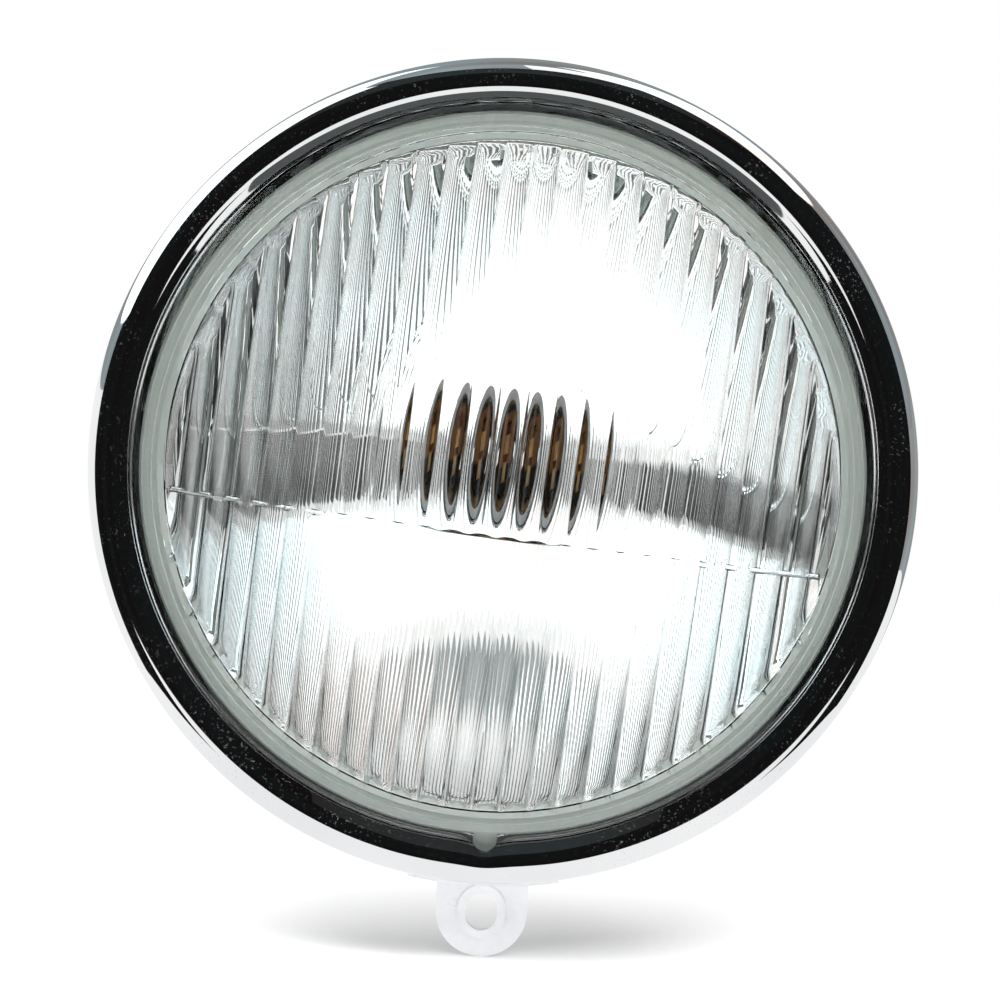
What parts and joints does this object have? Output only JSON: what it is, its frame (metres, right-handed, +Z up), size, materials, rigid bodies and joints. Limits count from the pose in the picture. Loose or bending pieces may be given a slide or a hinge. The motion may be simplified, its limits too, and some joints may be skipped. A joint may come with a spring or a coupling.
{
  "type": "headlight insert",
  "caption": "Round motorbike headlight insert: a chromed rim with a screw tab holds a fluted glass lens and a reflector with an empty bayonet bulb holder.",
  "frame": {"origin": "on the optical axis, in the plane of the rim's hem that seats on the lamp shell", "axes": "-Y is where the lens faces, +Z is up, with the screw tab at the bottom, and +X is to the right seen from the front"},
  "size_m": [0.115, 0.0682, 0.1275],
  "materials": {
    "chrome": "bright chrome plate",
    "plated_steel": "dull zinc plate",
    "spring_steel": "blued spring strip",
    "lens_glass": "clear pressed glass",
    "gasket_rubber": "matte pale rubber",
    "reflector_metal": "bright inside, dull outside",
    "sleeve_brass": "drawn, slightly tarnished",
    "laminate": "brown paper laminate",
    "contact_bronze": "rolled bronze strip",
    "terminal_brass": "stamped",
    "rivet_brass": "headed"
  },
  "bodies": {
    "root": {"rim": "chrome", "fixing_bracket": "plated_steel", "top_hook": "plated_steel", "holder_cup": "plated_steel", "retaining_clip_1": "spring_steel", "retaining_clip_2": "spring_steel", "retaining_clip_3": "spring_steel", "retaining_clip_4": "spring_steel", "retaining_clip_5": "spring_steel", "retaining_clip_6": "spring_steel", "holder_spring_1": "spring_steel", "holder_spring_2": "spring_steel", "lens": "lens_glass", "lens_gasket": "gasket_rubber", "reflector": "reflector_metal", "socket_sleeve": "sleeve_brass", "insulator_plate": "laminate", "main_contact": "contact_bronze", "live_terminal": "terminal_brass", "earth_terminal": "terminal_brass", "contact_rivet": "rivet_brass", "earth_rivet": "rivet_brass", "spring_rivets": "rivet_brass"}
  },
  "joints": []
}
